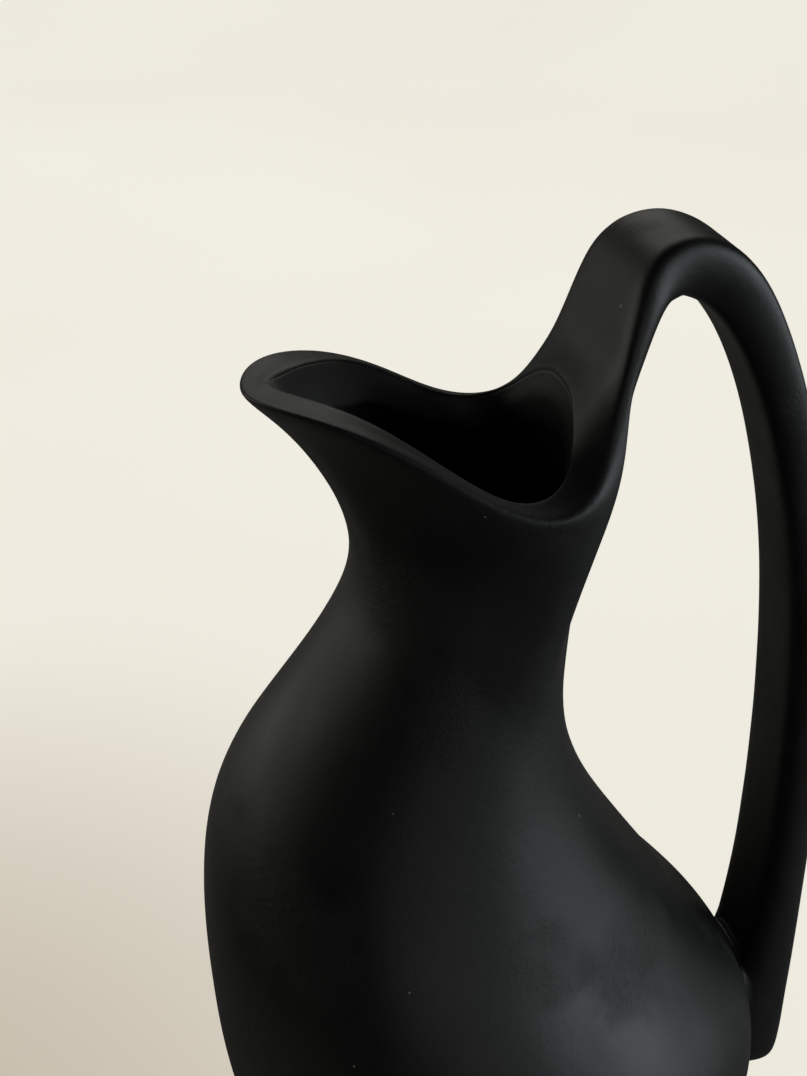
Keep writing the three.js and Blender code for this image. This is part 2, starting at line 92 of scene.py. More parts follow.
LOW_SHARES = {"height": 0.5, "rise": 0.2, "length": 0.908, "width": 0.897, "forward": 0.14}
BELLY_FORWARD_SHARE = 0.18
SHOULDER_SHARES = {"height": 0.444, "rise": 1.75, "length": 0.68, "width": 0.443, "forward": 0.977}
FLARE_SHARES = {"height": 1.538, "rise": 0.97, "length": 1.308, "width": 0.98, "forward": -0.34}

RIDGE_SHARES = [
    (0, 0, 0.072), (0.046, 0.326, 0), (0.169, 0.568, 0.03), (0.339, 0.755, 0.192),
    (0.514, 0.889, 0.506), (0.671, 0.979, 0.849), (0.815, 1, 1), (0.93, 0.922, 0.902),
    (1, 0.744, 0.555),
]
OPENING_SHARES = [
    (0, 0, 0), (0.138, 0.322, 0.017), (0.28, 0.573, 0.116), (0.414, 0.774, 0.339),
    (0.547, 0.917, 0.639), (0.674, 1, 0.906), (0.79, 1, 1), (0.877, 0.917, 0.927),
    (0.929, 0.78, 0.76), (0.959, 0.611, 0.554), (0.981, 0.424, 0.373), (0.996, 0.22, 0.262),
    (1, 0, 0.245),
]
FACING_SHARES = [
    (-0.7, 0, -0.72), (-0.45, -0.6, -0.6), (-0.2, -0.87, -0.45), (0.1, -0.95, -0.25),
    (0.35, -0.93, 0),
]
RISE_SHARES = [(0, 0), (0.087, 0.705), (0.166, 0.951), (0.29, 1)]
DROP_SHARES = [
    (0.462, 0.973), (0.631, 0.905), (0.788, 0.795), (0.918, 0.649), (0.982, 0.476), (1, 0.294),
    (0.976, 0.127), (0.917, 0),
]
STRAP_WIDTH_SHARES = [
    1.597, 1.354, 1.11, 0.929, 0.846, 0.839, 0.879, 0.934, 0.987, 1.019, 1.061, 1.13,
]
STRAP_THICKNESS_SHARES = [
    0.59, 0.788, 1.165, 1.33, 1.241, 1.053, 0.968, 0.941, 0.965, 1.005, 1.241, 1.829,
]
STRAP_SECTION_SHARES = [
    (-1, 0), (-1, 0.42), (-0.95, 0.8), (-0.3, 1), (0.6, 0.99), (1, 0.85), (1, 0.55), (1, 0.27),
    (1, 0),
]

# Columns run up the body, from the spout round the -Y side. The lip turns up at the turn column.
COLUMNS = 24
HALF_COLUMNS = COLUMNS // 2
TURN_COLUMN = 9

# Rows are counted in sections: foot 0, low 1, belly 2, shoulder 3, neck 4, flare 5.
BASE_ROW = 0.2
BELLY_ROW = 1
SHOULDER_ROW = 2.8
COLLAR_ROW = 3.6
NECK_ROW = 4
FOOT_ROW = 0.025
OUTER_ROWS = [
    FOOT_ROW, BASE_ROW, 0.6, BELLY_ROW, 1.45, 1.9, 2.35, SHOULDER_ROW, 3.2, COLLAR_ROW, NECK_ROW,
]
INNER_ROWS = [COLLAR_ROW, 3.2, SHOULDER_ROW, 2.2, 1.6, BELLY_ROW, 0.6, BASE_ROW]
FLARE_STEP_SHARES = [0.25, 0.52, 0.8]
THROAT_STEP_SHARES = [0.3, 0.65, 1]
FOOT_DISC_SHARES = [0.04, 0.4, 0.75]
FLOOR_DISC_SHARES = [0.1, 0.3, 0.6, 0.85]
ARCH_RINGS = 13
DROP_RINGS = 7
ARCH_PLACE = 6

FLARE_PULL_SHARE = 0.26
SPOUT_PULL_SHARE = 1.385
FLARE_TURN_COLUMN = 4
THROAT_PULL_SHARE = 0.35
THROAT_TURN = 6
TAIL_SHRINK_SHARE = 0.45
PLACE_STEP = 0.01
SKIN_LEVELS = 3
FITTING_ROUNDS = 3


def vec(*parts):
    return np.array(parts, float)


def mix(a, b, share):
    return a + (b - a) * share


def smooth(share):
    share = min(max(share, 0), 1)
    return share * share * (3 - 2 * share)


def unit(way):
    return way / np.linalg.norm(way)


def guide(points):
    """A smooth curve through points, where a place is counted in points."""
    points = np.array(points, float)
    padded = np.vstack([2 * points[0] - points[1], points, 2 * points[-1] - points[-2]])
    last = len(points) - 1

    def at(place):
        place = min(max(place, 0), last)
        i = min(int(place), last - 1)
        t = place - i
        before, a, b, after = padded[i:i + 4]
        leave, arrive = (b - before) / 2, (after - a) / 2
        return (
            a + leave * t + (3 * (b - a) - 2 * leave - arrive) * t ** 2
            + (2 * (a - b) + leave + arrive) * t ** 3
        )

    return at


def section(forward, height, rise, length, width):
    front = vec(-forward - length, width, height + rise)
    return front, vec(-forward + length, width, height - rise)


SECTIONS = [
    section(0, 0, 0, FOOT_RADIUS, FOOT_RADIUS),
    section(
        NECK_FORWARD * LOW_SHARES["forward"], BELLY_HEIGHT * LOW_SHARES["height"],
        BELLY_RISE * LOW_SHARES["rise"], BELLY_HALF_LENGTH * LOW_SHARES["length"],
        BELLY_HALF_WIDTH * LOW_SHARES["width"],
    ),
    section(
        NECK_FORWARD * BELLY_FORWARD_SHARE, BELLY_HEIGHT, BELLY_RISE, BELLY_HALF_LENGTH,
        BELLY_HALF_WIDTH,
    ),
    section(
        NECK_FORWARD * SHOULDER_SHARES["forward"],
        mix(BELLY_HEIGHT, NECK_HEIGHT, SHOULDER_SHARES["height"]),
        BELLY_RISE * SHOULDER_SHARES["rise"],
        mix(NECK_HALF_LENGTH, BELLY_HALF_LENGTH, SHOULDER_SHARES["length"]),
        mix(NECK_HALF_WIDTH, BELLY_HALF_WIDTH, SHOULDER_SHARES["width"]),
    ),
    section(NECK_FORWARD, NECK_HEIGHT, NECK_RISE, NECK_HALF_LENGTH, NECK_HALF_WIDTH),
    section(
        NECK_FORWARD * FLARE_SHARES["forward"],
        mix(BELLY_HEIGHT, NECK_HEIGHT, FLARE_SHARES["height"]), NECK_RISE * FLARE_SHARES["rise"],
        NECK_HALF_LENGTH * FLARE_SHARES["length"], NECK_HALF_WIDTH * FLARE_SHARES["width"],
    ),
]
front_guide = guide([front for front, _ in SECTIONS])
back_guide = guide([back for _, back in SECTIONS])


def body_ring(row, inset):
    """One leaning oval ring of the body, an inset inside its outer face."""
    front, back = front_guide(row), back_guide(row)
    middle = (front + back) / 2 * vec(1, 0, 1)
    half = (front - middle) * vec(1, 0, 1)
    half *= 1 - inset / np.linalg.norm(half)
    ring = []
    for i in range(COLUMNS):
        angle = 2 * math.pi * i / COLUMNS
        point = middle + half * math.cos(angle)
        point[1] = (inset - front[1]) * math.sin(angle)
        ring.append(point)
    return ring


def strap_point(shares, bottom):
    across, height = shares
    return vec(mix(HANDLE_ROOT_REACH, HANDLE_REACH, across), 0, mix(bottom, ARCH_HEIGHT, height))


STRAP_POINTS = [strap_point(s, HANDLE_ROOT_HEIGHT) for s in RISE_SHARES]
STRAP_POINTS += [strap_point(s, TAIL_HEIGHT) for s in DROP_SHARES]
strap_line = guide(STRAP_POINTS)
strap_size = guide([
    (thick * STRAP_HALF_THICKNESS, wide * STRAP_HALF_WIDTH)
    for thick, wide in zip(STRAP_THICKNESS_SHARES, STRAP_WIDTH_SHARES)
])
TAIL_PLACE = len(STRAP_POINTS) - 1


def strap_frame(place):
    tangent = unit(strap_line(place + PLACE_STEP) - strap_line(place - PLACE_STEP))
    return strap_line(place), tangent, vec(-tangent[2], 0, tangent[0])


def strap_ring(place, shrink=0, reach=0):
    """A ring of the strap, from the middle of its inner face over the +Y edge first."""
    middle, tangent, outward = strap_frame(place)
    thick_half, wide_half = strap_size(place) - shrink
    half = [(thick * thick_half, wide * wide_half) for thick, wide in STRAP_SECTION_SHARES]
    other = [(thick, -wide) for thick, wide in half[-2:0:-1]]
    ring = []
    for thick, wide in half + other:
        point = middle + outward * thick + tangent * reach
        point[1] = wide
        ring.append(point)
    return ring


class Cage:
    """The coarse points and faces under the skin. Each face knows its piece."""

    def __init__(self):
        self.points = []
        self.faces = []
        self.tags = []

    def add_points(self, points):
        start = len(self.points)
        self.points.extend(points)
        return list(range(start, len(self.points)))

    def add_face(self, tag, corners):
        self.faces.append(corners)
        self.tags.append(tag)

    def add_strip(self, tag, before, after):
        for i, corner in enumerate(before):
            following = (i + 1) % len(before)
            corners = [corner, before[following], after[following], after[i]]
            if None not in corners:
                self.add_face(tag, corners)


def side_column(column):
    return min(column, COLUMNS - column)


def towards_turn(column, spout_share):
    return mix(spout_share, 1, smooth(side_column(column) / TURN_COLUMN))


def on_side(point, column):
    y = abs(point[1])
    return vec(point[0], -y if column <= HALF_COLUMNS else y, point[2])


def wall_piece(row):
    for limit, piece in (
        (BASE_ROW, "base_slab"), (BELLY_ROW, "lower_belly"), (SHOULDER_ROW, "upper_belly"),
        (COLLAR_ROW, "neck"),
    ):
        if row < limit:
            return piece
    return "mouth"


root_ring = strap_ring(0)
HALF_RING = len(root_ring) // 2
RING_EDGE = HALF_COLUMNS - TURN_COLUMN + 1


def root_index(column, line):
    away = abs(column - HALF_COLUMNS)
    fold = {"outer": away, "ridge": RING_EDGE, "inner": HALF_RING - away}[line]
    return fold if column >= HALF_COLUMNS else (len(root_ring) - fold) % len(root_ring)


ridge = [
    vec(mix(-SPOUT_REACH, TURN_REACH, x), -y * MOUTH_HALF_WIDTH, SPOUT_HEIGHT - z * MOUTH_DROP)
    for x, y, z in RIDGE_SHARES
]
ridge.append(root_ring[root_index(TURN_COLUMN, "ridge")])
opening = [
    vec(
        mix(-OPENING_REACH, OPENING_BACK_REACH, x), -y * OPENING_HALF_WIDTH,
        SPOUT_HEIGHT - z * OPENING_DROP,
    )
    for x, y, z in OPENING_SHARES
]
facing = guide(FACING_SHARES)
root_tangent = strap_frame(0)[1]
UP = vec(0, 0, 1)


def lip_at(column):
    """One column of the lip: outer, ridge and inner point, how it rises, how the flare comes."""
    side = side_column(column)
    if side >= TURN_COLUMN:
        return (
            root_ring[root_index(column, "outer")],
            root_ring[root_index(column, "ridge")] if side == TURN_COLUMN else None,
            root_ring[root_index(column, "inner")], UP, root_tangent,
        )
    before = ridge[1] * vec(1, -1, 1) if side == 0 else ridge[side - 1]
    run = unit(ridge[side + 1] - before)
    face = facing(side * (len(FACING_SHARES) - 1) / TURN_COLUMN)
    face = unit(face - run * face.dot(run))
    rise = np.cross(run, face)
    rise = rise * np.sign(rise[2])
    inward = opening[side] - ridge[side]
    inward = inward - run * inward.dot(run)
    inner_round = min(LIP_INNER_ROUND, np.linalg.norm(inward) / 2)
    turn_start = FLARE_TURN_COLUMN / TURN_COLUMN
    turn = smooth((side / TURN_COLUMN - turn_start) / (1 - turn_start))
    approach = unit(mix(rise, run, turn))
    mirror = vec(1, 1 if column <= HALF_COLUMNS else -1, 1)
    return (
        on_side(ridge[side] - rise * LIP_OUTER_ROUND * towards_turn(side, SPOUT_LIP_SHARE), column),
        on_side(ridge[side], column),
        on_side(ridge[side] + unit(inward) * inner_round, column),
        rise * mirror, approach * mirror,
    )


def bend(a, b, c, d, share):
    rest = 1 - share
    return rest ** 3 * a + 3 * rest ** 2 * share * b + 3 * rest * share ** 2 * c + share ** 3 * d


cage = Cage()


def add_disc(tag, ring, middle, shares, upward):
    """Rings that close a ring towards a middle point, and the face in the last one."""
    rings = [ring]
    for share in shares:
        points = [mix(cage.points[i], middle, share) for i in ring]
        for point in points:
            point[2] = mix(point[2], middle[2], smooth(2 * share))
        rings.append(cage.add_points(points))
    for outer, inner in zip(rings, rings[1:]):
        if upward:
            cage.add_strip(tag, outer, inner)
        else:
            cage.add_strip(tag, inner, outer)
    cage.add_face(tag, rings[-1][::-1] if upward else rings[-1])


lip = [lip_at(column) for column in range(COLUMNS)]
neck_ring = body_ring(NECK_ROW, 0)
neck_up = [unit(b - a) for a, b in zip(neck_ring, body_ring(NECK_ROW + PLACE_STEP, 0))]

# Outside: the body's rows, then the flare up to the lip.
outer_rings = [cage.add_points(body_ring(row, 0)) for row in OUTER_ROWS]
foot = cage.add_points([point * vec(1, 1, 0) for point in body_ring(0, FOOT_CHAMFER)])
cage.add_strip("base_slab", foot, outer_rings[0])
add_disc("base_slab", foot, vec(0, 0, 0), FOOT_DISC_SHARES, False)
for share in FLARE_STEP_SHARES:
    ring = []
    for i, (start, way, (outer, _, _, _, approach)) in enumerate(zip(neck_ring, neck_up, lip)):
        pull = np.linalg.norm(outer - start) * FLARE_PULL_SHARE * towards_turn(i, SPOUT_PULL_SHARE)
        ring.append(bend(start, start + way * pull, outer - approach * pull, outer, share))
    outer_rings.append(cage.add_points(ring))
lip_outer = cage.add_points([point[0] for point in lip])
outer_rings.append(lip_outer)
outer_rows = OUTER_ROWS + [NECK_ROW] * len(FLARE_STEP_SHARES)
for row, below, above in zip(outer_rows, outer_rings, outer_rings[1:]):
    cage.add_strip(wall_piece(row), below, above)

# The lip's rounded edge, as far as the turn.
lip_ridge = [None if point[1] is None else cage.add_points([point[1]])[0] for point in lip]
lip_inner = cage.add_points([point[2] for point in lip])
cage.add_strip("mouth", lip_outer, lip_ridge)
cage.add_strip("mouth", lip_ridge, lip_inner)

# Inside: the band to the opening's edge, the throat down to the neck, and the inner wall.
edge_ring = [on_side(opening[side_column(column)], column) for column in range(COLUMNS)]
throat_down = [
    -unit(mix(lip[column][3], UP, smooth((side_column(column) - 1) / THROAT_TURN)))
    for column in range(COLUMNS)
]
throat_end = body_ring(NECK_ROW, WALL)


def throat_ring(share):
    ring = []
    for start, down, end, way in zip(edge_ring, throat_down, throat_end, neck_up):
        pull = np.linalg.norm(end - start) * THROAT_PULL_SHARE
        ring.append(bend(start, start + down * pull, end + way * pull, end, share))
    return ring


edge_rounds = [
    OPENING_ROUND * towards_turn(column, SPOUT_OPENING_SHARE) for column in range(COLUMNS)
]
throat_rings = [
    [
        edge + unit(point[2] - edge) * min(rounding, np.linalg.norm(point[2] - edge) / 2)
        for edge, point, rounding in zip(edge_ring, lip, edge_rounds)
    ],
    edge_ring,
    [edge + down * rounding for edge, down, rounding in zip(edge_ring, throat_down, edge_rounds)],
    *[throat_ring(share) for share in THROAT_STEP_SHARES],
]
inner_rings = [body_ring(row, WALL) for row in INNER_ROWS]
inside = [cage.add_points(ring) for ring in throat_rings + inner_rings]
inside_pieces = ["mouth"] * len(throat_rings) + [wall_piece(row) for row in INNER_ROWS[1:]]
cage.add_strip("mouth", lip_inner, inside[0])
for piece, above, below in zip(inside_pieces, inside, inside[1:]):
    cage.add_strip(piece, above, below)
add_disc("base_slab", inside[-1], vec(0, 0, FLOOR_HEIGHT), FLOOR_DISC_SHARES, True)

# Handle: rings from the root over the arch and down to the rounded tail.
root_ids = [None] * len(root_ring)
for column in range(COLUMNS):
    if side_column(column) >= TURN_COLUMN:
        root_ids[root_index(column, "outer")] = lip_outer[column]
        root_ids[root_index(column, "inner")] = lip_inner[column]
        if side_column(column) == TURN_COLUMN:
            root_ids[root_index(column, "ridge")] = lip_ridge[column]
places = [ARCH_PLACE * (i + 1) / ARCH_RINGS for i in range(ARCH_RINGS)]
places += [mix(ARCH_PLACE, TAIL_PLACE, (i + 1) / DROP_RINGS) for i in range(DROP_RINGS)]
strap_rings = [root_ids] + [cage.add_points(strap_ring(place)) for place in places]
tail = cage.add_points(strap_ring(TAIL_PLACE, TAIL_ROUND * TAIL_SHRINK_SHARE, TAIL_ROUND))
strap_rings.append(tail)
for before, after in zip(strap_rings, strap_rings[1:]):
    cage.add_strip("handle", before, after)
for side in (1, -1):
    for k in range(RING_EDGE):
        across = [(side * i) % len(tail) for i in (k, k + 1, HALF_RING - k - 1, HALF_RING - k)]
        corners = [tail[i] for i in dict.fromkeys(across)]
        cage.add_face("handle", corners if side > 0 else corners[::-1])

PIECES = ["base_slab", "lower_belly", "upper_belly", "neck", "mouth", "handle"]


def fine_skin(cage_points, levels, limit):
    """The cage's smooth surface: its points, its quads and the piece of each quad."""
    mesh = bpy.data.meshes.new("cage")
    mesh.from_pydata([tuple(p) for p in cage_points], [], cage.faces)
    mesh.polygons.foreach_set("material_index", [PIECES.index(tag) for tag in cage.tags])
    holder = bpy.data.objects.new("cage", mesh)
    scene.collection.objects.link(holder)
    rounding = holder.modifiers.new("rounding", "SUBSURF")
    rounding.levels = levels
    rounding.use_limit_surface = limit
    fine = holder.evaluated_get(bpy.context.evaluated_depsgraph_get()).to_mesh()
    points = np.empty(len(fine.vertices) * 3)
    fine.vertices.foreach_get("co", points)
    quads = np.empty(len(fine.loops), int)
    fine.loops.foreach_get("vertex_index", quads)
    parts = np.empty(len(fine.polygons), int)
    fine.polygons.foreach_get("material_index", parts)
    bpy.data.objects.remove(holder)
    bpy.data.meshes.remove(mesh)
    return points.reshape(-1, 3), quads.reshape(-1, 4), parts


def point_normals(points, quads):
    a, b, c, d = (points[quads[:, i]] for i in range(4))
    normals = np.zeros_like(points)
    face = np.cross(c - a, d - b)
    for i in range(4):
        np.add.at(normals, quads[:, i], face)
    return normals / np.linalg.norm(normals, axis=1)[:, None]


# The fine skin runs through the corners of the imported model's coarser one.
tight = np.array(cage.points)
coarse, _, _ = fine_skin(tight, 1, False)
for _ in range(FITTING_ROUNDS):
    reached, _, _ = fine_skin(tight, 1, True)
    tight = tight + (coarse - reached)[:len(tight)]
skin, quads, parts = fine_skin(tight, SKIN_LEVELS, True)

# What the hand leaves: the clay is nowhere quite even, but the foot stays flat.
UNEVEN = 0.14
UNEVEN_SPAN = 34
UNEVEN_MIDDLE = 0.6
FINER_TIMES = 2.3
FINER_WEAKER = 3
EVEN_HEIGHT = 3 * FOOT_CHAMFER
SHRINK_ACROSS = 0.998
for i, (point, normal) in enumerate(zip(skin, point_normals(skin, quads))):
    if point[2] > EVEN_HEIGHT:
        swell = noise.noise(Vector(point / UNEVEN_SPAN))
        swell += noise.noise(Vector(point / UNEVEN_SPAN * FINER_TIMES)) / FINER_WEAKER
        skin[i] = point + normal * (UNEVEN * (swell - UNEVEN_MIDDLE))
skin[:, 1] *= SHRINK_ACROSS

# The lip was drawn out with wet fingers: its edge is a soft roll from the spout to near the turn,
# and softer on the -Y side. It fades in and out between these columns of the cage.
SOFT_REACH = 11
SOFT_ROUNDS = 26
SOFT_COLUMNS = (1.6, 3.2, 4, 7)
SOFT_FAR_SHARE = 0.25


def place_on_ridge(point):
    """The nearest place on the lip's ridge, counted in columns, and how far away it is."""
    folded = point * vec(1, -1 if point[1] > 0 else 1, 1)
    best = (math.inf, 0)
    for column, (a, b) in enumerate(zip(ridge, ridge[1:])):
        share = np.clip((folded - a).dot(b - a) / (b - a).dot(b - a), 0, 1)
        best = min(best, (np.linalg.norm(folded - mix(a, b, share)), column + share))
    return best[1], best[0]


soft = np.zeros(len(skin))
lowest = SPOUT_HEIGHT - MOUTH_DROP - SOFT_REACH
for i, point in enumerate(skin):
    if point[2] > lowest and point[0] < TURN_REACH:
        column, away = place_on_ridge(point)
        if away < SOFT_REACH:
            start, full, fading, end = SOFT_COLUMNS
            along_lip = smooth((column - start) / (full - start))
            along_lip *= smooth((end - column) / (end - fading))
            side_share = 1 if point[1] < 0 else SOFT_FAR_SHARE
            soft[i] = smooth(1 - away / SOFT_REACH) * along_lip * side_share
sides = np.concatenate([quads[:, [k, (k + 1) % 4]] for k in range(4)])
edges = np.unique(np.sort(sides, axis=1), axis=0)
edges = edges[(soft[edges] > 0).any(axis=1)]
neighbours = np.bincount(edges.ravel(), minlength=len(skin))
for _ in range(SOFT_ROUNDS):
    total = np.zeros_like(skin)
    np.add.at(total, edges[:, 0], skin[edges[:, 1]])
    np.add.at(total, edges[:, 1], skin[edges[:, 0]])
    moving = soft > 0
    middle = total[moving] / neighbours[moving, None]
    skin[moving] += (middle - skin[moving]) * soft[moving, None] / 2

normals = point_normals(skin, quads)


def faces_of(*names):
    return quads[np.isin(parts, [PIECES.index(name) for name in names])]


def tree_of(faces):
    ids = np.unique(faces)
    numbers = {int(old): new for new, old in enumerate(ids)}
    return BVHTree.FromPolygons(
        [Vector(skin[i]) for i in ids], [[numbers[int(i)] for i in face] for face in faces]
    )


def outer_faces(*names):
    """The faces whose middle looks away from the vase's own axis line."""
    faces = faces_of(*names)
    middle = skin[faces].mean(1)
    axis = vec(-NECK_FORWARD / 2, 0, 0)
    away = ((middle - axis) * vec(1, 1, 0) * normals[faces].mean(1)).sum(1) > 0
    return faces[away]


belly_tree = tree_of(outer_faces("lower_belly", "upper_belly"))
# The strap was pressed on the belly while both were soft, so its inner face follows the belly.
PRESSED = 0.3
DRAWN = 1.6
DRAWN_FROM = 4
for i in np.unique(faces_of("handle")):
    if skin[i][2] < BELLY_HEIGHT:
        spot, way, _, _ = belly_tree.find_nearest(Vector(skin[i]))
        gap = (Vector(skin[i]) - spot).dot(way)
        if gap < DRAWN_FROM:
            skin[i] = spot + way * max(gap - DRAWN * (1 - smooth(gap / DRAWN_FROM)), -PRESSED)
strap_tree = tree_of(faces_of("handle"))
SIDE_WEIGHT = 9


def rims(faces):
    """The rims of a set of quads: ids from the foremost point round -Y, and their direction."""
    ahead = {}
    for k in range(4):
        ahead.update({(int(a), int(b)): True for a, b in zip(faces[:, k], faces[:, (k + 1) % 4])})
    follow = {a: b for a, b in ahead if (b, a) not in ahead}
    found = []
    while follow:
        start, after = next(iter(follow.items()))
        ring = [start]
        while after != start:
            ring.append(after)
            after = follow.pop(after)
        follow.pop(start, None)
        first = min(
            range(len(ring)), key=lambda i: skin[ring[i]][0] + SIDE_WEIGHT * abs(skin[ring[i]][1])
        )
        ring = ring[first:] + ring[:first]
        forward = skin[ring[1]][1] < 0
        if not forward:
            ring = ring[:1] + ring[:0:-1]
        found.append((ring, forward))
    return sorted(found, key=lambda rim: skin[rim[0]].mean(0)[2])


def width(rim):
    return np.ptp(skin[rim[0]][:, 1])


def make_mesh(name, points, faces, face_normals):
    """A smooth mesh in metres. Each face has the normals of its corners."""
    mesh = bpy.data.meshes.new(name)
    mesh.from_pydata((np.array(points) * MM).tolist(), [], faces)
    mesh.polygons.foreach_set("use_smooth", [True] * len(mesh.polygons))
    if face_normals is not None:
        mesh.normals_split_custom_set(face_normals)
    mesh.validate()
    piece = bpy.data.objects.new(name, mesh)
    scene.collection.objects.link(piece)
    return piece


def wall_piece_mesh(node):
    """One piece of the skin, closed where it meets its neighbours."""
    faces = faces_of(node)
    found = rims(faces)
    closing = []
    if len(found) % 2:
        ring, forward = found.pop()
        middle = skin[ring].mean(0)
        closing += [(middle, ring, forward)]
    joints = []
    for pair in zip(found[::2], found[1::2]):
        (outer, forward), (inner, _) = sorted(pair, key=width, reverse=True)
        for k in range(len(outer)):
            m = (k + 1) % len(outer)
            quad = [outer[k], outer[m], inner[m], inner[k]]
            joints.append(quad[::-1] if forward else quad)
    ids = np.unique(faces)
    numbers = {int(old): new for new, old in enumerate(ids)}
    points = list(skin[ids])
    meshed = [[numbers[int(i)] for i in face] for face in faces]
    corner_normals = list(normals[faces.ravel()])
    for quad in joints:
        flat = np.cross(skin[quad[2]] - skin[quad[0]], skin[quad[3]] - skin[quad[1]])
        meshed.append([numbers[i] for i in quad])
        corner_normals += [unit(flat)] * 4
    for middle, ring, forward in closing:
        points.append(middle)
        for k, a in enumerate(ring):
            b = ring[(k + 1) % len(ring)]
            first, second = (b, a) if forward else (a, b)
            flat = np.cross(skin[first] - middle, skin[second] - middle)
            meshed.append([len(points) - 1, numbers[first], numbers[second]])
            corner_normals += [unit(flat)] * 3
    return make_mesh(node, points, meshed, corner_normals)


normals = point_normals(skin, quads)
made = {node: wall_piece_mesh(node) for node in PIECES}


def ring_faces(count, profile, flipped):
    """The quads between closed profiles that stand one after another round a ring."""
    faces = []
    for k in range(count):
        a, b = k * profile, (k + 1) % count * profile
        for j in range(profile):
            m = (j + 1) % profile
            quad = [a + j, a + m, b + m, b + j]
            faces.append([quad[0]] + quad[:0:-1] if flipped else quad)
    return faces


# The lute: clay smoothed into the corner all round the handle's foot.
LUTE_STEPS = 144
LUTE_BANDS = 6
LUTE_SMOOTHING = 12
LUTE_HIGH = 6.0
LUTE_LOW = 3.0
LUTE_LEAN_SHARE = 0.3
LUTE_SINK = 0.15
LUTE_DEPTH = 0.9
LUTE_CORNER_DEPTH = 0.8
CONTACT_STEP = 0.5
CONTACT_REACH = 40
CONTACT_HALVINGS = 12
CONTACT_BELOW_TAIL = 10
CONTACT_OVER_BELLY = 20
OFF_MIDDLE = 0.01


def belly_spot(y, z):
    spot, way, _, _ = belly_tree.ray_cast(Vector((2 * HANDLE_REACH, y, z)), Vector((-1, 0, 0)))
    return spot, way


def overlap(y, z):
    """How deep the strap's inner face lies in the belly at a place seen from behind."""
    behind, _ = belly_spot(y, z)
    strap, _, _, _ = strap_tree.ray_cast(Vector((0, y, z)), Vector((1, 0, 0)))
    return -1 if behind is None or strap is None else behind.x - strap.x


heights = np.arange(
    TAIL_HEIGHT - CONTACT_BELOW_TAIL, BELLY_HEIGHT + CONTACT_OVER_BELLY, CONTACT_STEP
)
contact = [z for z in heights if overlap(OFF_MIDDLE, z) > 0]
contact_low, contact_high = min(contact), max(contact)
contact_middle = (contact_low + contact_high) / 2


def contact_edge(way):
    """The last place where strap and belly touch, one way from the middle, seen from behind."""
    def touches(reach):
        return overlap(way[0] * reach, contact_middle + way[1] * reach) > 0

    far = next(r for r in np.arange(1, CONTACT_REACH, CONTACT_STEP) if not touches(r))
    near = far - CONTACT_STEP
    for _ in range(CONTACT_HALVINGS):
        half = (near + far) / 2
        if touches(half):
            near = half
        else:
            far = half
    return vec(way[0] * near, contact_middle + way[1] * near)


turns = [2 * math.pi * step / LUTE_STEPS for step in range(LUTE_STEPS)]
seam = [contact_edge(vec(math.sin(angle), math.cos(angle))) for angle in turns]
for _ in range(LUTE_SMOOTHING):
    seam = [(seam[k - 1] + 2 * seam[k] + seam[(k + 1) % LUTE_STEPS]) / 4 for k in range(LUTE_STEPS)]

lute_rings = []
for k, (y, z) in enumerate(seam):
    spot, normal = belly_spot(y, z)
    corner = vec(*spot)
    run = unit(seam[(k + 1) % LUTE_STEPS] - seam[k - 1])
    size = mix(LUTE_LOW, LUTE_HIGH, smooth((z - contact_low) / (contact_high - contact_low)))
    low_spot, low_way = belly_spot(y - run[1] * size, z + run[0] * size)
    belly_end = vec(*low_spot)
    target = corner + vec(*normal) * size + unit(belly_end - corner) * LUTE_LEAN_SHARE * size
    strap_end, strap_way, _, _ = strap_tree.find_nearest(Vector(target))
    strap_end = vec(*strap_end)
    curve = [
        (1 - t) ** 2 * belly_end + 2 * t * (1 - t) * corner + t ** 2 * strap_end
        for t in np.linspace(0, 1, LUTE_BANDS + 1)
    ]
    curve[0] = belly_end - vec(*low_way) * LUTE_SINK
    lute_rings.append(curve + [
        strap_end - vec(*strap_way) * LUTE_CORNER_DEPTH, corner - vec(*normal) * LUTE_CORNER_DEPTH,
        belly_end - vec(*low_way) * LUTE_DEPTH,
    ])
made["handle_lute"] = make_mesh(
    "handle_lute", [point for ring in lute_rings for point in ring],
    ring_faces(LUTE_STEPS, len(lute_rings[0]), False), None,
)

# The glaze round the throat. The upper coat is thicker, and ends in a wavy line. On the front,
# round the spout, the upper coat is painted much lighter as a painted sheen; the back of the
# throat, towards the handle, keeps the dark glaze.
GLAZE_COLUMNS = 192
GLAZE_BANDS = 90
GLAZE_THIN = 0.15
GLAZE_THICK = 0.75
GLAZE_EDGE = 0.02
GLAZE_FEATHER = 0.1
GLAZE_SINK = 0.05
GLAZE_DEPTH = 0.5
LINE_SHARE = 0.17
LINE_WAVE = 0.06
LINE_RIPPLE = 0.02
WAVE_RADIUS = 1.3
RIPPLE_RADIUS = 4
WAVE_LEVEL = 4
RIPPLE_LEVEL = 9
# How far round from the spout the painted sheen on the upper coat reaches, and over how much of a
# turn it fades.
SHEEN_TURN = 0.33
SHEEN_FADE = 0.08
inner_tree = tree_of(faces_of("mouth", "neck"))
share_rings = [throat_ring(share) for share in np.linspace(0, 1, GLAZE_BANDS + 1)]


def ring_noise(turn, radius, level):
    """Noise that closes on itself round the mouth. A wider circle gives more waves."""
    around = 2 * math.pi * turn
    return noise.noise(Vector((radius * math.cos(around), radius * math.sin(around), level)))


def glaze_line(turn):
    """How far down the throat the upper coat ends, as a share, at a turn round the mouth."""
    wave = ring_noise(turn, WAVE_RADIUS, WAVE_LEVEL)
    ripple = ring_noise(turn, RIPPLE_RADIUS, RIPPLE_LEVEL)
    return LINE_SHARE + LINE_WAVE * wave + LINE_RIPPLE * ripple


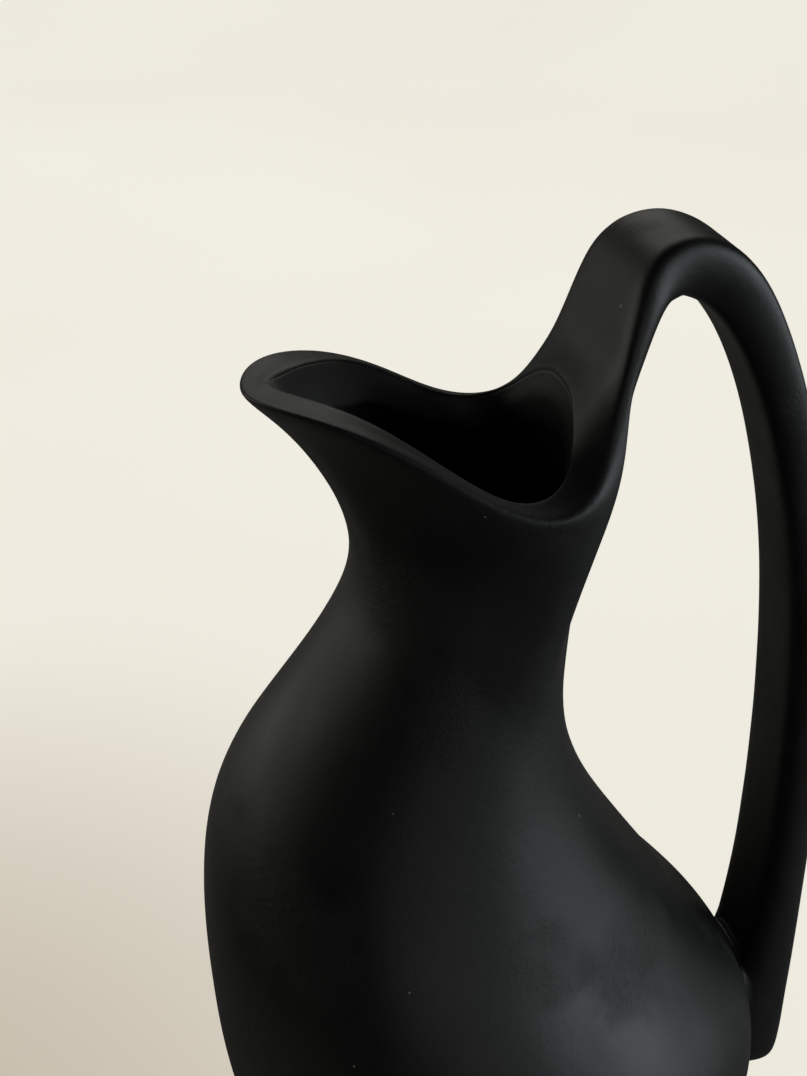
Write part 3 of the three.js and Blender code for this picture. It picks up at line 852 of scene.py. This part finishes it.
front, back, coat_sheen_shares = [], [], []
for column in range(GLAZE_COLUMNS):
    turn = column / GLAZE_COLUMNS
    first, share = int(turn * COLUMNS), turn * COLUMNS % 1
    line = glaze_line(turn)
    front_line, back_line, coat_sheen_line = [], [], []
    # Painted sheen: full round the spout side, none at the back of the throat.
    sheen_side_share = smooth((SHEEN_TURN - min(turn, 1 - turn)) / SHEEN_FADE)
    for band in range(1, GLAZE_BANDS + 1):
        down = band / GLAZE_BANDS
        ring = share_rings[band]
        spot, way, _, _ = inner_tree.find_nearest(
            Vector(mix(ring[first % COLUMNS], ring[(first + 1) % COLUMNS], share))
        )
        feather = smooth(down / GLAZE_FEATHER)
        step = smooth((line + GLAZE_EDGE / 2 - down) / GLAZE_EDGE)
        lift = mix(GLAZE_THIN, GLAZE_THICK, step) * feather - GLAZE_SINK
        front_line.append(vec(*spot) + vec(*way) * lift)
        back_line.append(vec(*spot) - vec(*way) * GLAZE_DEPTH)
        coat_sheen_line.append(step * sheen_side_share)
    front.append(front_line)
    back.append(back_line)
    coat_sheen_shares.append(coat_sheen_line)
closed = [line + behind[::-1] for line, behind in zip(front, back)]
made["throat_glaze"] = make_mesh(
    "throat_glaze", [point for line in closed for point in line],
    ring_faces(GLAZE_COLUMNS, len(closed[0]), True), None,
)
# The share of the painted sheen at each point, which the glaze's material reads.
coat_sheen_attribute = made["throat_glaze"].data.attributes.new("coat_painted_sheen", "FLOAT", "POINT")
coat_sheen_attribute.data.foreach_set("value", [share for line in coat_sheen_shares for share in line + line[::-1]])


# Materials.
class Shader:
    """A node material. Each step adds a node and returns the socket that the next one takes."""

    def __init__(self, name):
        self.material = bpy.data.materials.new(name)
        self.material.use_nodes = True
        self.tree = self.material.node_tree
        self.surface = self.tree.nodes["Principled BSDF"]
        place = self.tree.nodes.new("ShaderNodeTexCoord")
        self.place = place.outputs["Object"]

    def node(self, kind, inputs, output=0, **settings):
        made_node = self.tree.nodes.new("ShaderNode" + kind)
        for key, value in settings.items():
            setattr(made_node, key, value)
        for key, value in inputs.items():
            if isinstance(value, bpy.types.NodeSocket):
                self.tree.links.new(value, made_node.inputs[key])
            else:
                made_node.inputs[key].default_value = value
        return made_node.outputs[output]

    def noise(self, scale, detail=2, rough=0.5, place=None):
        place = self.place if place is None else place
        return self.node(
            "TexNoise", {"Vector": place, "Scale": scale, "Detail": detail, "Roughness": rough}
        )

    def ranged(self, value, low, high, to_low, to_high, smoothed=True):
        return self.node(
            "MapRange",
            {
                "Value": value, "From Min": low, "From Max": high, "To Min": to_low,
                "To Max": to_high,
            },
            interpolation_type="SMOOTHSTEP" if smoothed else "LINEAR",
        )

    def math(self, operation, a, b=0.0):
        return self.node("Math", {0: a, 1: b}, operation=operation)

    def mapped(self, turn, scale):
        return self.node("Mapping", {"Vector": self.place, "Rotation": turn, "Scale": scale})

    def colour(self, share, a, b):
        """A mix of two colours, where each is a socket or three plain values."""
        a, b = (end if isinstance(end, bpy.types.NodeSocket) else (*end, 1) for end in (a, b))
        return self.node("Mix", {"Factor": share, "A": a, "B": b}, 2, data_type="RGBA")

    def bump(self, height, distance, normal=None, strength=1.0):
        inputs = {"Height": height, "Distance": distance, "Strength": strength}
        if normal is not None:
            inputs["Normal"] = normal
        return self.node("Bump", inputs)

    def finish(self, **sockets):
        for key, value in sockets.items():
            socket = self.surface.inputs[key.replace("_", " ")]
            if isinstance(value, bpy.types.NodeSocket):
                self.tree.links.new(value, socket)
            else:
                socket.default_value = value
        return self.material


# Scales are waves a metre. Strokes are drawn out along one slanting way.
CLOUD_SCALE = 28
PATCH_SCALE = 24
PATCH_RANGE = (0.52, 0.66)
STROKE_SCALE = 900
STROKE_TURN = (0.5, 0.35, 0.2)
STROKE_STRETCH = (1, 0.035, 1)
GRAIN_SCALE = 2600
PORE_SCALE = 420
GRIT_SCALE = 130.0
GRIT_SIZE = (0.035, 0.06)
GRIT_CHOICE = (0.86, 0.87)
GRIT_COLOUR = (0.3, 0.29, 0.27)
CLOUD_RANGE = (0.3, 0.7)
CLOUD_TONE = 0.6
WORN_TONE = 0.9
WORN_ROUGHNESS = 0.25
ROUGHNESS_SWING = 0.05
PORE_DEPTH = 0.00006
GRAIN_DEPTH = 0.00002


def clay_material(name, dark, light, roughness, marks, coat_painted_sheen=None):
    """Burnished black clay: fine grain, long strokes of the burnishing tool, and pale grit."""
    shader = Shader(name)
    cloud = shader.noise(CLOUD_SCALE, 4, 0.55)
    strokes = shader.noise(STROKE_SCALE, 3, 0.6, shader.mapped(STROKE_TURN, STROKE_STRETCH))
    patches = shader.ranged(shader.noise(PATCH_SCALE, 3), *PATCH_RANGE, 0, 1)
    worn = shader.math("MULTIPLY", strokes, patches)
    tone = shader.math(
        "ADD", shader.ranged(cloud, *CLOUD_RANGE, 0, CLOUD_TONE),
        shader.math("MULTIPLY", worn, WORN_TONE),
    )
    base = shader.colour(tone, dark, light)
    # Painted sheen: where the point's sheen share is set, the colour turns to the lighter sheen
    # colour.
    if coat_painted_sheen:
        painted_sheen_share = shader.node("Attribute", {}, 2, attribute_name="coat_painted_sheen")
        base = shader.colour(painted_sheen_share, base, coat_painted_sheen)
    cell_inputs = {"Vector": shader.place, "Scale": GRIT_SCALE}
    middle_away = shader.node("TexVoronoi", cell_inputs)
    pick = shader.node("SeparateColor", {0: shader.node("TexVoronoi", cell_inputs, 1)})
    chosen = shader.ranged(pick, *GRIT_CHOICE, 0, 1)
    grit = shader.math("MULTIPLY", shader.ranged(middle_away, *GRIT_SIZE, 1, 0), chosen)
    base = shader.colour(grit, base, GRIT_COLOUR)
    rough = shader.ranged(
        cloud, *CLOUD_RANGE, roughness - ROUGHNESS_SWING, roughness + ROUGHNESS_SWING
    )
    rough = shader.math("ADD", rough, shader.math("MULTIPLY", worn, WORN_ROUGHNESS))
    relief = shader.bump(shader.noise(PORE_SCALE, 3), PORE_DEPTH)
    relief = shader.bump(shader.noise(GRAIN_SCALE, 2), GRAIN_DEPTH, relief)
    relief = shader.bump(worn, marks, relief)
    return shader.finish(Base_Color=base, Roughness=rough, Normal=relief, Specular_IOR_Level=0.5)


clay = clay_material(
    "burnished clay", dark=(0.0045, 0.0047, 0.0045), light=(0.0125, 0.0128, 0.012),
    roughness=0.48, marks=0.0002,
)
slip = clay_material(
    "smoothed slip", dark=(0.007, 0.0072, 0.0078), light=(0.015, 0.0155, 0.017),
    roughness=0.44, marks=0.00006,
)
# The throat glaze is black, with a lighter painted sheen on the upper coat round the spout.
glaze = clay_material(
    "throat glaze with painted sheen", dark=(0.002, 0.0021, 0.0022), light=(0.004, 0.0042, 0.0045),
    roughness=0.5, marks=0.00004, coat_painted_sheen=(0.045, 0.044, 0.041),
)

SLOTS = {"handle_lute": ("slip", slip), "throat_glaze": ("glaze", glaze)}
for node, piece in made.items():
    slot, material = SLOTS.get(node, ("clay", clay))
    piece.data.materials.clear()
    piece.data.materials.append(material)
    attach(piece, "root")
    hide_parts(node)

# The stage: a pale floor that sweeps up behind, seen under soft light from the right.
FLOOR_REACH = 3.0
SWEEP_BEHIND = 1.6
SWEEP_RADIUS = 0.8
SWEEP_STEPS = 24
profile_line = [(-FLOOR_REACH, 0.0)]
for step in range(SWEEP_STEPS + 1):
    angle = math.pi / 2 * step / SWEEP_STEPS
    profile_line.append((
        SWEEP_BEHIND + SWEEP_RADIUS * math.sin(angle), SWEEP_RADIUS * (1 - math.cos(angle))
    ))
profile_line.append((SWEEP_BEHIND + SWEEP_RADIUS, FLOOR_REACH))
sweep_mesh = bpy.data.meshes.new("sweep")
sweep_mesh.from_pydata(
    [(x, y, z) for y, z in profile_line for x in (-FLOOR_REACH, FLOOR_REACH)], [],
    [(2 * i, 2 * i + 1, 2 * i + 3, 2 * i + 2) for i in range(len(profile_line) - 1)],
)
sweep_mesh.polygons.foreach_set("use_smooth", [True] * len(sweep_mesh.polygons))
sweep = bpy.data.objects.new("sweep", sweep_mesh)
scene.collection.objects.link(sweep)

# The camera sees the paper pale and partly glowing, with a painted shadow left of the vase. The
# light that it throws on the vase is greyer.
PAPER_SCALE = 1.4
PAPER_COLOURS = ((0.97, 0.935, 0.835), (1, 0.97, 0.875))
PAPER_PAINTED_SHADOW = (0.66, 0.585, 0.48)
PAPER_SHADOW_PLACE = (-0.24, 0.03, 0.0)
PAPER_SHADOW_RANGE = (0.05, 0.4)
PAPER_THROWN = (0.42, 0.41, 0.38)
PAPER_GLOW = 0.84
paper = Shader("warm paper with painted shadow")
paper_tone = paper.ranged(paper.noise(PAPER_SCALE, 2), 0.3, 0.7, 0, 1)
# Painted shadow: the paper's colour darkens towards a place left of the vase, where the vase's
# shadow falls.
away_from_painted_shadow = paper.node(
    "VectorMath", {0: paper.place, 1: PAPER_SHADOW_PLACE}, 1, operation="DISTANCE"
)
paper_with_painted_shadow = paper.colour(
    paper.ranged(away_from_painted_shadow, *PAPER_SHADOW_RANGE, 0, 1), PAPER_PAINTED_SHADOW,
    paper.colour(paper_tone, *PAPER_COLOURS),
)
seen = paper.node("LightPath", {}, "Is Camera Ray")
paper.finish(
    Base_Color=paper.colour(seen, PAPER_THROWN, paper_with_painted_shadow), Roughness=0.9, Specular_IOR_Level=0.2
)
glow = paper.node("Emission", {"Color": paper_with_painted_shadow, "Strength": 1})
glow_share = paper.math("MULTIPLY", seen, PAPER_GLOW)
both = paper.node("MixShader", {0: glow_share, 1: paper.surface.outputs[0], 2: glow})
paper.tree.links.new(both, paper.tree.nodes["Material Output"].inputs["Surface"])
sweep_mesh.materials.append(paper.material)

CARD_TURN = math.radians(-18)
CARD_HEIGHT = 0.002
CARD_COLOUR = (0.01, 0.01, 0.01)


def floor_card(name, corner, far_corner):
    """A black card just over the floor, turned square to the camera, which looks past it."""
    mesh = bpy.data.meshes.new(name)
    ahead, aside = math.cos(CARD_TURN), math.sin(CARD_TURN)
    (x0, y0), (x1, y1) = corner, far_corner
    mesh.from_pydata(
        [
            (x * ahead - y * aside, x * aside + y * ahead, CARD_HEIGHT)
            for x, y in ((x0, y0), (x1, y0), (x1, y1), (x0, y1))
        ], [], [(0, 1, 2, 3)],
    )
    card = bpy.data.objects.new(name, mesh)
    scene.collection.objects.link(card)
    card.visible_camera = False
    black = Shader(name).finish(Base_Color=(*CARD_COLOUR, 1), Roughness=0.9, Specular_IOR_Level=0.1)
    mesh.materials.append(black)


# Black cards in front and on the left keep the light of the floor off the neck and the strap.
floor_card("black_card_front", (-1.5, -1.5), (1.1, -0.24))
floor_card("black_card_left", (-1.5, -0.24), (-0.26, 0.05))

LAMP_TARGET = Vector((0, 0, 0.2))


def soft_light(name, position, size, brightness, colour):
    """A plain rectangle of even brightness, where 1 is white. It faces the vase."""
    lamp = bpy.data.lights.new(name, "AREA")
    lamp.shape = "RECTANGLE"
    lamp.size, lamp.size_y = size
    lamp.energy = brightness * math.pi * size[0] * size[1]
    lamp.color = colour
    holder = bpy.data.objects.new(name, lamp)
    holder.location = position
    holder.rotation_mode = "QUATERNION"
    holder.rotation_quaternion = (LAMP_TARGET - Vector(position)).to_track_quat("-Z", "Y")
    holder.visible_camera = False
    scene.collection.objects.link(holder)


soft_light("window", (1.47, -0.64, 0.42), (1.5, 0.7), 3.1, (0.88, 0.96, 1))
soft_light("front", (0.2, -1.58, 0.38), (1.5, 0.5), 0.75, (1, 1, 1))
soft_light("left", (-1.42, 0.7, 0.45), (1.9, 0.8), 1.1, (1, 0.99, 0.92))
soft_light("back", (0.22, 1.26, 1.18), (1.2, 0.6), 1.5, (1, 0.98, 0.92))

ROOM_COLOUR = (1, 0.97, 0.91, 1)
ROOM_STRENGTH = 0.02
world = bpy.data.worlds.new("room")
world.use_nodes = True
scene.world = world
room = world.node_tree.nodes["Background"]
room.inputs["Color"].default_value = ROOM_COLOUR
room.inputs["Strength"].default_value = ROOM_STRENGTH

# The camera, where the photograph's perspective puts it.
CAMERA_PLACE = Vector((-0.1071, -0.3338, 0.4442))
CAMERA_TARGET = Vector((-0.027, 0, 0.25))
SENSOR_SIZE = 36
LENS = 52
camera_data = bpy.data.cameras.new("camera")
camera_data.sensor_fit = "VERTICAL"
camera_data.sensor_height = SENSOR_SIZE
camera_data.sensor_width = SENSOR_SIZE
camera_data.lens = LENS
camera = bpy.data.objects.new("camera", camera_data)
camera.location = CAMERA_PLACE
camera.rotation_mode = "QUATERNION"
camera.rotation_quaternion = (CAMERA_TARGET - CAMERA_PLACE).to_track_quat("-Z", "Y")
scene.collection.objects.link(camera)
scene.camera = camera
scene.view_settings.view_transform = "Standard"
